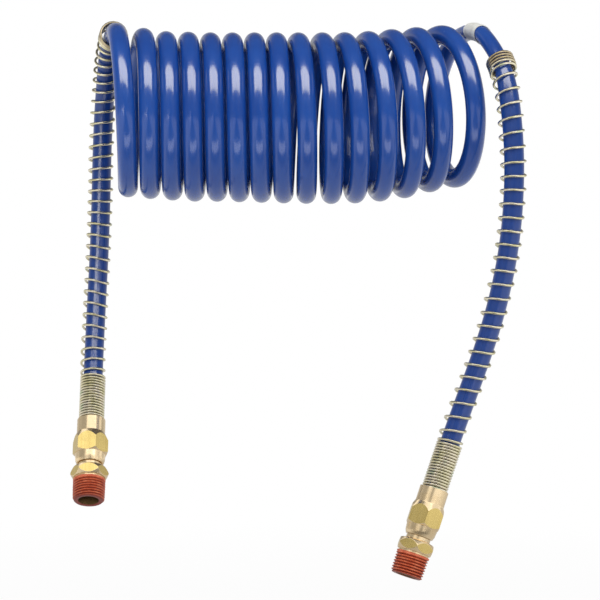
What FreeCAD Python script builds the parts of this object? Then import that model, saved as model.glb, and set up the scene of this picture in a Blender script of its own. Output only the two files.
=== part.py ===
import FreeCAD, Part
import math
import os
import re

import Sketcher
from FreeCAD import Matrix, Placement, Rotation, Vector

# A coiled nylon air hose, hung by the inside of its coil, with a wire guard and a brass swivel end on each lead.
# Millimetres. The origin is the inside top of the coil, +X runs along the coil, +Z is up.

doc = FreeCAD.newDocument("CoiledAirHose")
sheet = doc.addObject("Spreadsheet::Sheet", "Sizes")

sizes = [
    ("hose_outside", 12.7, "half inch nylon tube"),
    ("hose_bore", 9.5, ""),
    ("coil_mean_diameter", 98.4, "to the middle of the tube"),
    ("close_turns", 9, ""),
    ("close_gap", 1.7, "between turns that lie close"),
    ("fanned_turns", 6, ""),
    ("fanned_gap", 3.5, "between turns that open out at the right"),
    ("fan_angle", 20, "degrees, how far the last turn has swung back"),
    ("close_middle", 47.3, "how far left of the origin the middle of the close turns lies"),
    ("coil_clearance", 0.5, "between the full turns and what passes them"),
    ("lead_first_run", 20.8, "straight out of the coil, to the first corner"),
    ("guard_wire", 1.6, ""),
    ("guard_clearance", 0.5, "between the guard and the hose, per side"),
    ("guard_closed_pitch", 1.72, ""),
    ("guard_head_turns", 4, "closed turns at the coil end"),
    ("guard_head_flare", 1, "how much wider those turns stand, on the radius"),
    ("left_guard_pitch", 7.7, ""),
    ("right_guard_pitch", 8.8, ""),
    ("left_guard_start", 17, "along the lead from the coil"),
    ("right_guard_start", 57, ""),
    ("guard_tail", 30, "closed length at the fitting"),
    ("thread_outside", 21.34, "crests past the taper of a half inch pipe thread"),
    ("thread_taper_length", 8, "one in thirty-two on the radius"),
    ("thread_length", 14.4, ""),
    ("tip_chamfer", 1, ""),
    ("relief_depth", 0.8, "of the plain ring between thread and hex, on the radius"),
    ("relief_length", 1.2, ""),
    ("hex_margin", 0.25, "hex flats past all that is round, per side"),
    ("stub_hex_length", 7.2, ""),
    ("stub_hex_land", 1, "full corners between its two domes"),
    ("dome_edge", 0.2, "the dome meets the end face this far inside the flats"),
    ("shoulder_step", 0.7, "shoulder past the spigot, per side"),
    ("shoulder_length", 2.9, ""),
    ("swivel_gap", 0.4, ""),
    ("skirt_wall", 2, "outside the ring's groove, where the skirt is widest"),
    ("skirt_length", 6.6, ""),
    ("skirt_taper", 1.3, "on the radius, mostly in the lowest third"),
    ("socket_hex_length", 15.3, ""),
    ("socket_hex_dome", 3.9, ""),
    ("socket_hex_step", 1.9, "height of the turned cone above its flats"),
    ("collar_wall", 0.75, "round the seat for the guard"),
    ("collar_length", 9.6, ""),
    ("hex_step", 0.9, "height of the turned edge above the stub's hex"),
    ("guard_recess", 1.6, "depth of the seat for the guard"),
    ("stub_bore", 13.5, ""),
    ("throat_wall", 1.1, "behind the seal's groove"),
    ("throat_depth", 6, "length of the narrow part inside the spigot"),
    ("spigot_outside", 14.2, ""),
    ("spigot_length", 11.6, ""),
    ("running_clearance", 0.08, "spigot in its chamber, per side"),
    ("seal_width", 1.8, ""),
    ("seal_depth", 1.4, ""),
    ("seal_inset", 3.6, "below the end of the spigot"),
    ("ring_width", 1.4, ""),
    ("ring_depth", 1.6, ""),
    ("ring_height", 3.2, "above the shoulder"),
    ("ring_gap", 24, "degrees, the opening of the retaining ring"),
    ("groove_clearance", 0.1, ""),
    ("chamber_floor", 2, "wall between the chamber and the hose seat"),
    ("insert_wall", 0.6, ""),
    ("insert_length", 16, ""),
    ("insert_flange", 0.8, ""),
    ("seat_clearance", 0.1, "between pieces that are pressed or swaged, per side"),
    ("marker_width", 8.5, ""),
    ("marker_thickness", 0.25, ""),
    ("marker_start", 1.5, "along the lead from the coil"),
]
for row, (name, value, note) in enumerate(sizes, start=1):
    sheet.set("A%d" % row, name)
    sheet.set("B%d" % row, str(value))
    sheet.setAlias("B%d" % row, name)
    sheet.set("C%d" % row, note)
doc.recompute()


def size(expression):
    """The value of a sum of sheet cells, written the way an expression is."""
    return float(sheet.evalExpression(with_sheet(expression)))


def with_sheet(expression):
    """The same sum with each cell's alias tied to the sheet."""
    names = {name for name, value, note in sizes}
    return re.sub("[a-z_]+", lambda word: "Sizes." + word[0] if word[0] in names else word[0], expression)


# Heights on a fitting, from the open end of its thread towards the hose.
thread_top = "thread_length"
stub_hex_foot = "(thread_length + relief_length)"
stub_hex_top = "(thread_length + relief_length + stub_hex_length)"
shoulder_top = "(thread_length + relief_length + stub_hex_length + shoulder_length)"
socket_foot = "(%s + swivel_gap)" % shoulder_top
skirt_top = "(%s + skirt_length)" % socket_foot
socket_hex_top = "(%s + socket_hex_length)" % skirt_top
collar_top = "(%s + collar_length)" % socket_hex_top
chamber_top = "(%s + spigot_length + swivel_gap)" % shoulder_top
hose_seat = "(%s + chamber_floor)" % chamber_top
hose_end = "(%s + insert_flange)" % hose_seat
chamber_radius = "(spigot_outside / 2 + running_clearance)"
hose_socket_radius = "(hose_outside / 2 + seat_clearance)"
guard_radius = "(hose_outside / 2 + guard_clearance + guard_wire)"
throat_radius = "(spigot_outside / 2 - seal_depth - groove_clearance - throat_wall)"
ring_groove_radius = "(%s + ring_depth / 2 + groove_clearance)" % chamber_radius
skirt_radius = "(%s + skirt_wall)" % ring_groove_radius
guard_recess_radius = "(%s + seat_clearance)" % guard_radius
collar_radius = "(%s + collar_wall)" % guard_recess_radius
shoulder_radius = "(spigot_outside / 2 + shoulder_step)"
stub_hex_half = "(max(thread_outside / 2; %s) + hex_margin)" % shoulder_radius
stub_hex_corner = "(%s * 2 / sqrt(3))" % stub_hex_half
socket_hex_half = "(max(%s; %s) + hex_margin)" % (skirt_radius, collar_radius)
socket_hex_corner = "(%s * 2 / sqrt(3))" % socket_hex_half
seal_height = "(%s + spigot_length - seal_inset)" % shoulder_top
ring_middle = "(%s + ring_height)" % shoulder_top


def plane(body, role):
    return next(item for item in body.Origin.OriginFeatures if item.Role == role)


def pin_point(sketch, line, across, up):
    """Hold the start of a line at a place given by two expressions."""
    for kind, axis, expression in (("DistanceX", -2, across), ("DistanceY", -1, up)):
        if expression == "0":
            sketch.addConstraint(Sketcher.Constraint("PointOnObject", line, 1, axis))
            continue
        held = sketch.addConstraint(Sketcher.Constraint(kind, -1, 1, line, 1, size(expression)))
        sketch.setExpression("Constraints[%d]" % held, with_sheet(expression))


def closed_outline(body, name, role, outline):
    """A sketch of straight lines through points that are pairs of expressions."""
    sketch = body.newObject("Sketcher::SketchObject", name)
    sketch.AttachmentSupport = (plane(body, role), [""])
    sketch.MapMode = "FlatFace"
    corners = [Vector(size(across), size(up), 0) for across, up in outline]
    for i, corner in enumerate(corners):
        sketch.addGeometry(Part.LineSegment(corner, corners[(i + 1) % len(corners)]), False)
    for i in range(len(corners)):
        sketch.addConstraint(Sketcher.Constraint("Coincident", i, 2, (i + 1) % len(corners), 1))
    for i, (across, up) in enumerate(outline):
        pin_point(sketch, i, across, up)
    return sketch


def turned_body(name, outline, angle="360"):
    """A piece turned on a lathe: the outline holds pairs of radius and height."""
    body = doc.addObject("PartDesign::Body", name)
    body.Label = name
    sketch = closed_outline(body, name + "_outline", "XZ_Plane", outline)
    turning = body.newObject("PartDesign::Revolution", name + "_turning")
    turning.Profile = sketch
    turning.ReferenceAxis = (sketch, ["V_Axis"])
    turning.setExpression("Angle", with_sheet(angle))
    sketch.Visibility = False
    doc.recompute()
    return body


def mill_hex(body, name, hex_corner):
    """Cut six flats on the parts of a turned body that stand out past them."""
    blank = body.Shape.Volume
    sketch = body.newObject("Sketcher::SketchObject", name + "_flats")
    sketch.AttachmentSupport = (plane(body, "XY_Plane"), [""])
    sketch.MapMode = "FlatFace"
    corner = size(hex_corner)
    points = [Vector(corner * math.cos(math.radians(60 * i)), corner * math.sin(math.radians(60 * i)), 0)
              for i in range(6)]
    for i in range(6):
        sketch.addGeometry(Part.LineSegment(points[i], points[(i + 1) % 6]), False)
    for i in range(6):
        sketch.addConstraint(Sketcher.Constraint("Coincident", i, 2, (i + 1) % 6, 1))
    guide = sketch.addGeometry(Part.Circle(Vector(0, 0, 0), Vector(0, 0, 1), corner), True)
    around = sketch.addGeometry(Part.Circle(Vector(0, 0, 0), Vector(0, 0, 1), 2 * corner), False)
    for circle in (guide, around):
        sketch.addConstraint(Sketcher.Constraint("Coincident", circle, 3, -1, 1))
    for i in range(6):
        sketch.addConstraint(Sketcher.Constraint("PointOnObject", i, 1, guide))
    for i in range(5):
        sketch.addConstraint(Sketcher.Constraint("Equal", i, i + 1))
    sketch.addConstraint(Sketcher.Constraint("PointOnObject", 0, 1, -1))
    held = sketch.addConstraint(Sketcher.Constraint("Radius", guide, corner))
    sketch.setExpression("Constraints[%d]" % held, with_sheet(hex_corner))
    held = sketch.addConstraint(Sketcher.Constraint("Radius", around, 2 * corner))
    sketch.setExpression("Constraints[%d]" % held, with_sheet("2 * " + hex_corner))
    flats = body.newObject("PartDesign::Pocket", name + "_hex")
    flats.Profile = sketch
    flats.Type = "ThroughAll"
    flats.Reversed = True
    sketch.Visibility = False
    doc.recompute()
    if body.Shape.Volume > blank - 1:
        raise RuntimeError(name + ": the flats cut nothing")
    return body


def swivel_stub(name):
    """The part that screws into a port: pipe thread blank, hex, shoulder and grooved spigot."""
    spigot = "(spigot_outside / 2)"
    seal_floor = "(spigot_outside / 2 - seal_depth - groove_clearance)"
    ring_floor = "(spigot_outside / 2 + running_clearance - ring_depth / 2 - groove_clearance)"
    ring_low = ring_middle + " - ring_width / 2 - groove_clearance"
    ring_high = ring_middle + " + ring_width / 2 + groove_clearance"
    seal_low = seal_height + " - seal_width / 2 - groove_clearance"
    seal_high = seal_height + " + seal_width / 2 + groove_clearance"
    spigot_top = "(%s + spigot_length)" % shoulder_top
    tip_radius = "(thread_outside / 2 - thread_taper_length / 32)"
    dome = "(stub_hex_length / 2 - stub_hex_land / 2)"
    outline = [
        ("stub_bore / 2", "0"),
        (tip_radius + " - tip_chamfer", "0"),
        (tip_radius + " + tip_chamfer / 32", "tip_chamfer"),
        ("thread_outside / 2", "thread_taper_length"),
        ("thread_outside / 2", thread_top),
        ("thread_outside / 2 - relief_depth", thread_top),
        ("thread_outside / 2 - relief_depth", stub_hex_foot),
        (stub_hex_half + " - dome_edge", stub_hex_foot),
        (stub_hex_corner, stub_hex_foot + " + " + dome),
        (stub_hex_corner, stub_hex_top + " - " + dome),
        (stub_hex_half + " - dome_edge", stub_hex_top),
        (shoulder_radius, stub_hex_top + " + hex_step"),
        (shoulder_radius, shoulder_top),
        (spigot, shoulder_top),
        (spigot, ring_low),
        (ring_floor, ring_low),
        (ring_floor, ring_high),
        (spigot, ring_high),
        (spigot, seal_low),
        (seal_floor, seal_low),
        (seal_floor, seal_high),
        (spigot, seal_high),
        (spigot, spigot_top),
        (throat_radius, spigot_top),
        (throat_radius, shoulder_top + " - throat_depth"),
        ("stub_bore / 2", shoulder_top + " - throat_depth - stub_bore / 2 + " + throat_radius),
    ]
    return mill_hex(turned_body(name, outline), name, stub_hex_corner)


def hose_socket(name):
    """The part that holds the hose: swaged collar, hex and skirt, with the swivel chamber in its foot."""
    ring_low = ring_middle + " - ring_width / 2 - groove_clearance"
    ring_high = ring_middle + " + ring_width / 2 + groove_clearance"
    outline = [
        (chamber_radius, socket_foot),
        (skirt_radius + " - skirt_taper", socket_foot),
        (skirt_radius + " - skirt_taper / 3", socket_foot + " + skirt_length / 3"),
        (skirt_radius, skirt_top),
        (socket_hex_half, skirt_top),
        (socket_hex_corner, skirt_top + " + " + socket_hex_corner + " - " + socket_hex_half),
        (socket_hex_corner, socket_hex_top + " - socket_hex_step - socket_hex_dome"),
        (socket_hex_half + " - dome_edge", socket_hex_top + " - socket_hex_step"),
        (collar_radius, socket_hex_top),
        (collar_radius, collar_top),
        (guard_recess_radius, collar_top),
        (guard_recess_radius, collar_top + " - guard_recess"),
        (hose_socket_radius, collar_top + " - guard_recess"),
        (hose_socket_radius, hose_seat),
        (throat_radius, hose_seat),
        (throat_radius, chamber_top),
        (chamber_radius, chamber_top),
        (chamber_radius, ring_high),
        (ring_groove_radius, ring_high),
        (ring_groove_radius, ring_low),
        (chamber_radius, ring_low),
    ]
    return mill_hex(turned_body(name, outline), name, socket_hex_corner)


def ring_piece(name, inner, outer, middle, width, angle="360"):
    """A ring of rectangular section, centred at a height."""
    low = "%s - %s / 2" % (middle, width)
    high = "%s + %s / 2" % (middle, width)
    return turned_body(name, [(inner, low), (outer, low), (outer, high), (inner, high)], angle)


def tube_insert(name):
    """A thin sleeve that backs the hose inside the collar, with a lip under the hose's end."""
    outside = "(hose_bore / 2 - seat_clearance)"
    bore = "(hose_bore / 2 - seat_clearance - insert_wall)"
    lip = "(hose_outside / 2)"
    outline = [
        (bore, hose_seat),
        (lip, hose_seat),
        (lip, hose_end),
        (outside, hose_end),
        (outside, hose_end + " + insert_length"),
        (bore, hose_end + " + insert_length"),
    ]
    return turned_body(name, outline)


# The line of the coil's axis: level and straight past the close turns, then an arc that swings back.
coil_radius = size("coil_mean_diameter / 2")
hose_radius = size("hose_outside / 2")
axis_height = hose_radius - coil_radius
close_length = size("(hose_outside + close_gap) * close_turns")
fan = math.radians(size("fan_angle"))
fan_radius = size("(hose_outside + fanned_gap) * fanned_turns") / fan
axis_start = Vector(-close_length / 2 - size("close_middle"), 0, axis_height)
fan_start = axis_start + Vector(close_length, 0, 0)
fan_centre = fan_start + Vector(0, fan_radius, 0)
axis_end = fan_centre + fan_radius * Vector(math.sin(fan), -math.cos(fan), 0)

# Hand-picked corners of each lead after its first one, and the open end of its fitting,
# measured from where the lead leaves the coil.
left_corners = [
    Vector(-6.5, 39.4, -7.9),
    Vector(-9.8, 53.9, -22.4),
    Vector(-12.3, 61.8, -41.3),
    Vector(-13.8, 63.2, -69.4),
    Vector(-14.5, 63.0, -104.4),
    Vector(-15.6, 62.0, -137.4),
    Vector(-17.4, 58.5, -174.0),
    Vector(-18.9, 49.2, -219.8),
]
left_tip = Vector(-19.0, 8.0, -297.6)
right_corners = [
    Vector(13.0, -38.0, -6.8),
    Vector(21.2, -52.0, -20.3),
    Vector(26.6, -59.8, -39.2),
    Vector(29.8, -62.3, -74.4),
    Vector(28.8, -62.5, -110.4),
    Vector(25.1, -61.5, -141.4),
    Vector(18.5, -60.0, -171.9),
    Vector(10.1, -58.5, -199.4),
    Vector(-1.8, -57.5, -232.0),
    Vector(-12.2, -59.0, -260.4),
]
right_tip = Vector(-39.4, -72.0, -340.8)


def fitting_frame(last_corner, tip):
    """Where a fitting stands: its open end at the tip, its axis towards the lead's last corner."""
    up = (last_corner - tip).normalize()
    side = Vector(0, 1, 0).cross(up).normalize()
    front = up.cross(side)
    turn = Matrix(side.x, front.x, up.x, 0, side.y, front.y, up.y, 0, side.z, front.z, up.z, 0, 0, 0, 0, 1)
    place = Placement(turn)
    place.Base = tip
    return place, up


def rounded_route(name, start, corners, end):
    """Straight runs joined by tangent arcs, each arc as large as its two runs allow."""
    points = [start] + corners + [end]
    edges = []
    at = start
    radii = []
    for before, corner, after in zip(points, points[1:], points[2:]):
        come, go = corner - before, after - corner
        reach = 0.45 * min(come.Length, go.Length)
        half_turn = come.getAngle(go) / 2
        radii.append(reach / math.tan(half_turn))
        enter = corner - come.normalize() * reach
        leave = corner + go.normalize() * reach
        inward = (enter + leave) * 0.5 - corner
        depth = radii[-1] * (1 / math.cos(half_turn) - 1)
        edges.append(Part.LineSegment(at, enter).toShape())
        edges.append(Part.Arc(enter, corner + inward.normalize() * depth, leave).toShape())
        at = leave
    edges.append(Part.LineSegment(at, end).toShape())
    print(name, "radii", [round(r) for r in radii])
    return Part.Wire(edges)


def tube_along(name, path, start, direction):
    """A hollow tube of the hose's section along a path."""
    tube, bore = [path.makePipe(Part.Face(Part.Wire(Part.makeCircle(size(diameter) / 2, start, direction))))
                  for diameter in ("hose_outside", "hose_bore")]
    tube = tube.cut(bore)
    area = math.pi / 4 * (size("hose_outside") ** 2 - size("hose_bore") ** 2)
    print(name, "length", round(path.Length, 1), "volume", round(tube.Volume), "against", round(area * path.Length))
    return tube


def half_ring(centre, along, first, last):
    """Half of the coil's section, between two angles from the top towards the front."""
    ahead = along.cross(Vector(0, 0, 1))

    def at(radius, angle):
        turned = math.radians(angle)
        return centre + radius * (Vector(0, 0, math.cos(turned)) + ahead * math.sin(turned))

    middle = (first + last) / 2
    inner, outer = coil_radius - hose_radius, coil_radius + hose_radius
    edges = [
        Part.Arc(at(outer, first), at(outer, middle), at(outer, last)).toShape(),
        Part.LineSegment(at(outer, last), at(inner, last)).toShape(),
        Part.Arc(at(inner, last), at(inner, middle), at(inner, first)).toShape(),
        Part.LineSegment(at(inner, first), at(outer, first)).toShape(),
    ]
    return Part.Face(Part.Wire(edges))


def coil_solid():
    """The outer shape of all the turns: a sleeve, with half a turn standing out at each end for its lead."""
    along = Vector(1, 0, 0)
    left_step = size(guard_radius + " + guard_head_flare + coil_clearance")
    right_step = hose_radius + size("coil_clearance")
    sleeve_start = axis_start + along * left_step
    stop = fan - right_step / fan_radius
    sleeve_middle = fan_centre + fan_radius * Vector(math.sin(stop / 2), -math.cos(stop / 2), 0)
    sleeve_end = fan_centre + fan_radius * Vector(math.sin(stop), -math.cos(stop), 0)
    path = Part.Wire([
        Part.LineSegment(sleeve_start, fan_start).toShape(),
        Part.Arc(fan_start, sleeve_middle, sleeve_end).toShape(),
    ])
    sleeve, hollow = [path.makePipe(Part.Face(Part.Wire(Part.makeCircle(radius, sleeve_start, along))))
                      for radius in (coil_radius + hose_radius, coil_radius - hose_radius)]
    sleeve = sleeve.cut(hollow)
    left_half = half_ring(axis_start - along * hose_radius, along, 0, 180).extrude(along * (hose_radius + left_step))
    sleeve_way = Vector(math.cos(stop), math.sin(stop), 0)
    stands_out = math.degrees((right_step + hose_radius) / fan_radius)
    right_half = half_ring(sleeve_end, sleeve_way, 180, 360).revolve(fan_centre, Vector(0, 0, 1), stands_out)
    return sleeve.fuse([left_half, right_half]).removeSplitter()


def line_of(path, spacing):
    """Points and directions at an even spacing along a path."""
    places = []
    passed = 0.0
    wanted = 0.0
    for edge in path.Edges:
        while wanted <= passed + edge.Length:
            along = edge.getParameterByLength(wanted - passed)
            places.append((edge.valueAt(along), edge.tangentAt(along).normalize()))
            wanted += spacing
        passed += edge.Length
    return places


def wound_guard(path, start, finish, open_pitch):
    """Round wire wound over a lead, closed at both ends and open between; the wire has four flats here."""
    facets = 10
    spacing = 0.25
    closed_pitch = size("guard_closed_pitch")
    head = start + size("guard_head_turns") * closed_pitch
    tail = finish - size("guard_tail")
    radius = size(guard_radius + " - guard_wire / 2")
    flare = size("guard_head_flare")
    half_wire = size("guard_wire / 2")
    places = line_of(path, spacing)
    side = Vector(1, 0, 0)
    sides = []
    for point, direction in places:
        side = (side - direction * side.dot(direction)).normalize()
        sides.append(side)
    sections = []
    distance, turn = start, 0.0
    while distance <= finish:
        i = int(round(distance / spacing))
        (point, direction), side = places[i], sides[i]
        point = point + direction * (distance - i * spacing)
        out = side * math.cos(turn) + direction.cross(side) * math.sin(turn)
        middle = point + out * (radius + flare * min(1, max(0, 1 - (distance - head) / open_pitch)))
        corners = [middle + out * half_wire, middle + direction * half_wire,
                   middle - out * half_wire, middle - direction * half_wire]
        sections.append(Part.makePolygon(corners + corners[:1]))
        distance += (open_pitch if head < distance < tail else closed_pitch) / facets
        turn += 2 * math.pi / facets
    print("guard of", round(len(sections) / facets, 1), "turns")
    return Part.makeLoft(sections, True, True)


def set_shape(name, shape):
    piece = doc.addObject("Part::Feature", name)
    piece.Label = name
    piece.Shape = shape
    piece.Placement = Placement()
    return piece


pieces = [set_shape("coil", coil_solid())]
top_of_turn = Vector(0, 0, coil_radius)
left_way = Vector(0, 1, 0)
right_way = Vector(math.sin(fan), -math.cos(fan), 0)
leads = (
    ("left", axis_start + top_of_turn, left_way, left_corners, left_tip),
    ("right", axis_end + top_of_turn, right_way, right_corners, right_tip),
)
# Degrees that each hex is turned from standing flat to the front.
hex_turns = {"left_hose_socket": -10, "right_hose_socket": 30, "right_swivel_stub": 30}
for hand, start, way, corners, tip in leads:
    corners = [way * size("lead_first_run")] + corners
    corners = [start + corner for corner in corners]
    tip = start + tip
    place, up = fitting_frame(corners[-1], tip)
    path = rounded_route(hand + " lead", start, corners, tip + up * size(hose_end))
    pieces.append(set_shape(hand + "_lead", tube_along(hand + " lead", path, start, way)))
    to_collar = path.Length - size(collar_top + " - " + hose_end)
    guard_foot = to_collar + size("guard_recess - guard_wire / 2 - seat_clearance")
    guard = wound_guard(path, size(hand + "_guard_start"), guard_foot, size(hand + "_guard_pitch"))
    pieces.append(set_shape(hand + "_spring_guard", guard))
    fitting = [
        hose_socket(hand + "_hose_socket"),
        tube_insert(hand + "_tube_insert"),
        swivel_stub(hand + "_swivel_stub"),
        ring_piece(
            hand + "_swivel_seal",
            "spigot_outside / 2 - seal_depth",
            "spigot_outside / 2 + running_clearance / 2",
            seal_height,
            "seal_width",
        ),
        ring_piece(
            hand + "_retaining_ring",
            "spigot_outside / 2 + running_clearance - ring_depth / 2",
            "spigot_outside / 2 + running_clearance + ring_depth / 2",
            ring_middle,
            "ring_width",
            "360 - ring_gap",
        ),
    ]
    for piece in fitting:
        turn = hex_turns.get(piece.Label, 0)
        piece.Placement = place * Placement(Vector(), Rotation(Vector(0, 0, 1), turn))
    pieces += fitting

# A band of white tape round the right lead, just past the last turn.
band_start = axis_end + top_of_turn + right_way * size("marker_start")
band_inner = size("hose_outside / 2 + seat_clearance / 2")
band_outer = band_inner + size("marker_thickness")
band, inside = [Part.makeCylinder(radius, size("marker_width"), band_start, right_way)
                for radius in (band_outer, band_inner)]
pieces.append(set_shape("marker_band", band.cut(inside)))

doc.recompute()
for item in doc.Objects:
    if "Invalid" in item.State or "Error" in item.State:
        raise RuntimeError("%s is %s" % (item.Label, item.State))
for piece in pieces:
    shape = piece.Shape
    if shape.isNull() or not shape.isValid() or not shape.Solids:
        raise RuntimeError(piece.Label + " has no valid solid")
os.makedirs("parts", exist_ok=True)
for piece in pieces:
    piece.Shape.exportStep("parts/%s.step" % piece.Label)
    print(piece.Label, "solids", len(piece.Shape.Solids), "volume", round(piece.Shape.Volume, 1))
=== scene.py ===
import bisect
import math

import bpy
from mathutils import Matrix, Vector, noise


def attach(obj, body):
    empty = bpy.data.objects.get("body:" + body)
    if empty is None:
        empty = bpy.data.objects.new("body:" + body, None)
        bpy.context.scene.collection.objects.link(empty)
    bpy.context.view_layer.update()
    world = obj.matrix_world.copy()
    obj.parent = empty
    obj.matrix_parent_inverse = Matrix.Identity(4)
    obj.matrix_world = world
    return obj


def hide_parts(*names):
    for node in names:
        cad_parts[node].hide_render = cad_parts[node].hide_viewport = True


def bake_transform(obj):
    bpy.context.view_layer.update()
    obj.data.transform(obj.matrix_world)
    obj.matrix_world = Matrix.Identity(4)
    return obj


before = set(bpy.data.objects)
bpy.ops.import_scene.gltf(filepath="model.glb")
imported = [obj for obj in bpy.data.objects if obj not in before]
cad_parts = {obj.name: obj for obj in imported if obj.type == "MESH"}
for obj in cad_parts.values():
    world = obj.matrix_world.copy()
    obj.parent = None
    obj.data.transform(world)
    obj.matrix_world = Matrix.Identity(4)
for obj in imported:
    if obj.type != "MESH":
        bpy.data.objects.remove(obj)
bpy.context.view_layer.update()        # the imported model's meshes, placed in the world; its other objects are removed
bpy.ops.object.select_all(action="DESELECT")

mm = 0.001
up = Vector((0, 0, 1))
backwards = Vector((0, 1, 0))
carriers = {"left": "hung_end", "right": "pulled_end"}  # the body that each lead and its socket are on


# Camera

camera = {
    "place": (0.0065, -2.0, -0.1607),   # level with the middle of the picture, looking along +Y
    "seen": 0.3888,                     # metres across the picture at the coil's axis
    "sensor": 36.0,
    "farthest": 20.0,
}
bpy.ops.object.camera_add(location=camera["place"], rotation=(math.radians(90), 0, 0))
cameraObject = bpy.context.object
cameraObject.name = "camera"
cameraObject.data.sensor_width = camera["sensor"]
cameraObject.data.lens = camera["sensor"] * abs(camera["place"][1]) / camera["seen"]
cameraObject.data.clip_end = camera["farthest"]
bpy.context.scene.camera = cameraObject
print("camera: lens", round(cameraObject.data.lens, 1))


# The hose's route

hose = {
    "diameter": 12.7 * mm,
    "coilRadius": 49.2 * mm,            # to the middle of the tube
    "closeTurns": 9,
    "closePitch": 14.4 * mm,
    "closeMiddle": -47.3 * mm,
    "fanTurns": 6,
    "fanPitch": 16.2 * mm,
    "fanAngle": math.radians(20),       # how far the last turn has swung back
    "pointsPerTurn": 16,
    "stepsBetween": 6,                  # rings from one point of the route to the next
    "sides": 32,
    "firstRun": 20.8 * mm,              # straight out of the coil, to a lead's first corner
    "hoseEnd": 40.5 * mm,               # from the open end of a fitting up to the hose inside it
    "flatter": 0.17,                    # how much the right lead's bend flattens and widens it
    "wider": 0.06,
    # and where along that lead this starts, is full, starts to fade and is gone
    "ovalFrom": -30 * mm,
    "ovalBy": -5 * mm,
    "ovalUpTo": 52 * mm,
    "roundFrom": 88 * mm,
    # how the turns differ, as pairs of turn and millimetres: how far each is lifted, drawn in, leant over
    # at its top, bowed along the coil at its front and slid along the coil
    "lift": (
        (0, 5.5), (1, 3.1), (2, 1.8), (3, 0.9), (4, 0.7), (7, 0.2), (8, 0), (10, 0), (11, 0.9), (12, 2.4),
        (13, 4.8), (14, 7.6), (14.5, 8.6), (15, 10.2),
    ),
    "shrink": (
        (0, -0.6), (1, 0.3), (2, 1.1), (3, 0.6), (4, 0.8), (7, 0.3), (9, 0), (11, 0), (12.5, 0.3),
        (13.5, 1.6), (14.5, 2.4),
    ),
    "lean": (
        (0, -0.6), (1, 1.2), (2, 1.4), (7, 1.15), (8, 0.95), (9, 1.0), (10, 0), (11, -0.3), (12, -1),
        (13, -1.1), (14, -1.3), (15, 0.6),
    ),
    "bow": (
        (0, 5.0), (1.5, 3.2), (3, 2.4), (7.25, 1.3), (8.25, 3.1), (9.25, 3.6), (10.25, 2.2), (11.25, 1.4),
        (12.25, 0.8), (13.25, -0.5), (14.25, 1.3), (15, 1),
    ),
    "slide": (
        (8, 0), (9.5, 1.2), (10.5, 0.6), (11.5, 0.7), (12.5, 0.9), (13.5, 1.6), (14.5, 3), (15, 3.2),
    ),
}
hose["turns"] = hose["closeTurns"] + hose["fanTurns"]
fanRadius = hose["fanPitch"] * hose["fanTurns"] / hose["fanAngle"]
closeLength = hose["closePitch"] * hose["closeTurns"]
axisStart = Vector((hose["closeMiddle"] - closeLength / 2, 0, hose["diameter"] / 2 - hose["coilRadius"]))
fanStart = axisStart + Vector((closeLength, 0, 0))

# Corners of each lead after its first one, and the open end of its fitting,
# in millimetres from where it leaves the coil
leadCorners = {
    "left": (
        (-6.5, 39.4, -7.9), (-9.8, 53.9, -22.4), (-12.3, 61.8, -41.3), (-13.8, 63.2, -69.4),
        (-14.5, 63.0, -104.4), (-15.6, 62.0, -137.4), (-17.4, 58.5, -174.0), (-18.9, 49.2, -219.8),
    ),
    "right": (
        (13.0, -38.0, -6.8), (21.2, -52.0, -20.3), (26.6, -59.8, -39.2), (29.8, -62.3, -74.4),
        (28.8, -62.5, -110.4), (25.1, -61.5, -141.4), (18.5, -60.0, -171.9), (10.1, -58.5, -199.4),
        (-1.8, -57.5, -232.0), (-12.2, -59.0, -260.4),
    ),
}
leadTips = {"left": (-19.0, 8.0, -297.6), "right": (-39.4, -72.0, -340.8)}
# How far the first run's end and the next corners are moved to meet the coil's uneven ends, in millimetres
leadNudges = {
    "left": ((-3, 0, 7.2), (-1.4, 0, 4.6), (-0.6, 0, 2.2), (-0.2, 0, 0.5)),
    "right": ((2.2, 1.7, 7.5), (2.4, 1.3, 5.2), (1.6, 0.7, 3.0), (0.2, 0.3, 1.2)),
}


def between(stops, place):
    # the value at a place on a smooth curve through pairs of place and value
    if place <= stops[0][0]:
        return stops[0][1]
    if place >= stops[-1][0]:
        return stops[-1][1]
    slopes = [0.0] + [(c[1] - a[1]) / (c[0] - a[0]) for a, c in zip(stops, stops[2:])] + [0.0]
    i = max(n for n in range(len(stops) - 1) if stops[n][0] <= place)
    (low, first), (high, last) = stops[i], stops[i + 1]
    wide = high - low
    share = (place - low) / wide
    value = (1 + 2 * share) * (1 - share) ** 2 * first + share * share * (3 - 2 * share) * last
    return value + wide * share * (1 - share) * ((1 - share) * slopes[i] - share * slopes[i + 1])


def axisAt(turn):
    # the middle of the coil and the way it runs, after so many turns
    if turn <= hose["closeTurns"]:
        return axisStart + Vector((hose["closePitch"] * turn, 0, 0)), Vector((1, 0, 0))
    swing = (turn - hose["closeTurns"]) * hose["fanPitch"] / fanRadius
    return (
        fanStart + Vector((math.sin(swing), 1 - math.cos(swing), 0)) * fanRadius,
        Vector((math.cos(swing), math.sin(swing), 0)),
    )


def coilPoint(turn):
    # a point of the route in the coil, a little far out, because the smooth line cuts its corners
    lift, shrink, lean, bow, slide = [
        between(hose[name], turn) * mm for name in ("lift", "shrink", "lean", "bow", "slide")
    ]
    middle, along = axisAt(turn)
    ahead = along.cross(up)
    angle = 2 * math.pi * turn
    radius = (hose["coilRadius"] - shrink) / math.cos(math.pi / hose["pointsPerTurn"])
    point = middle + radius * (up * math.cos(angle) + ahead * math.sin(angle))
    shift = lean * (1 + math.cos(angle)) + slide + bow * math.sin(angle)
    return point + along * shift + up * lift


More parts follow.
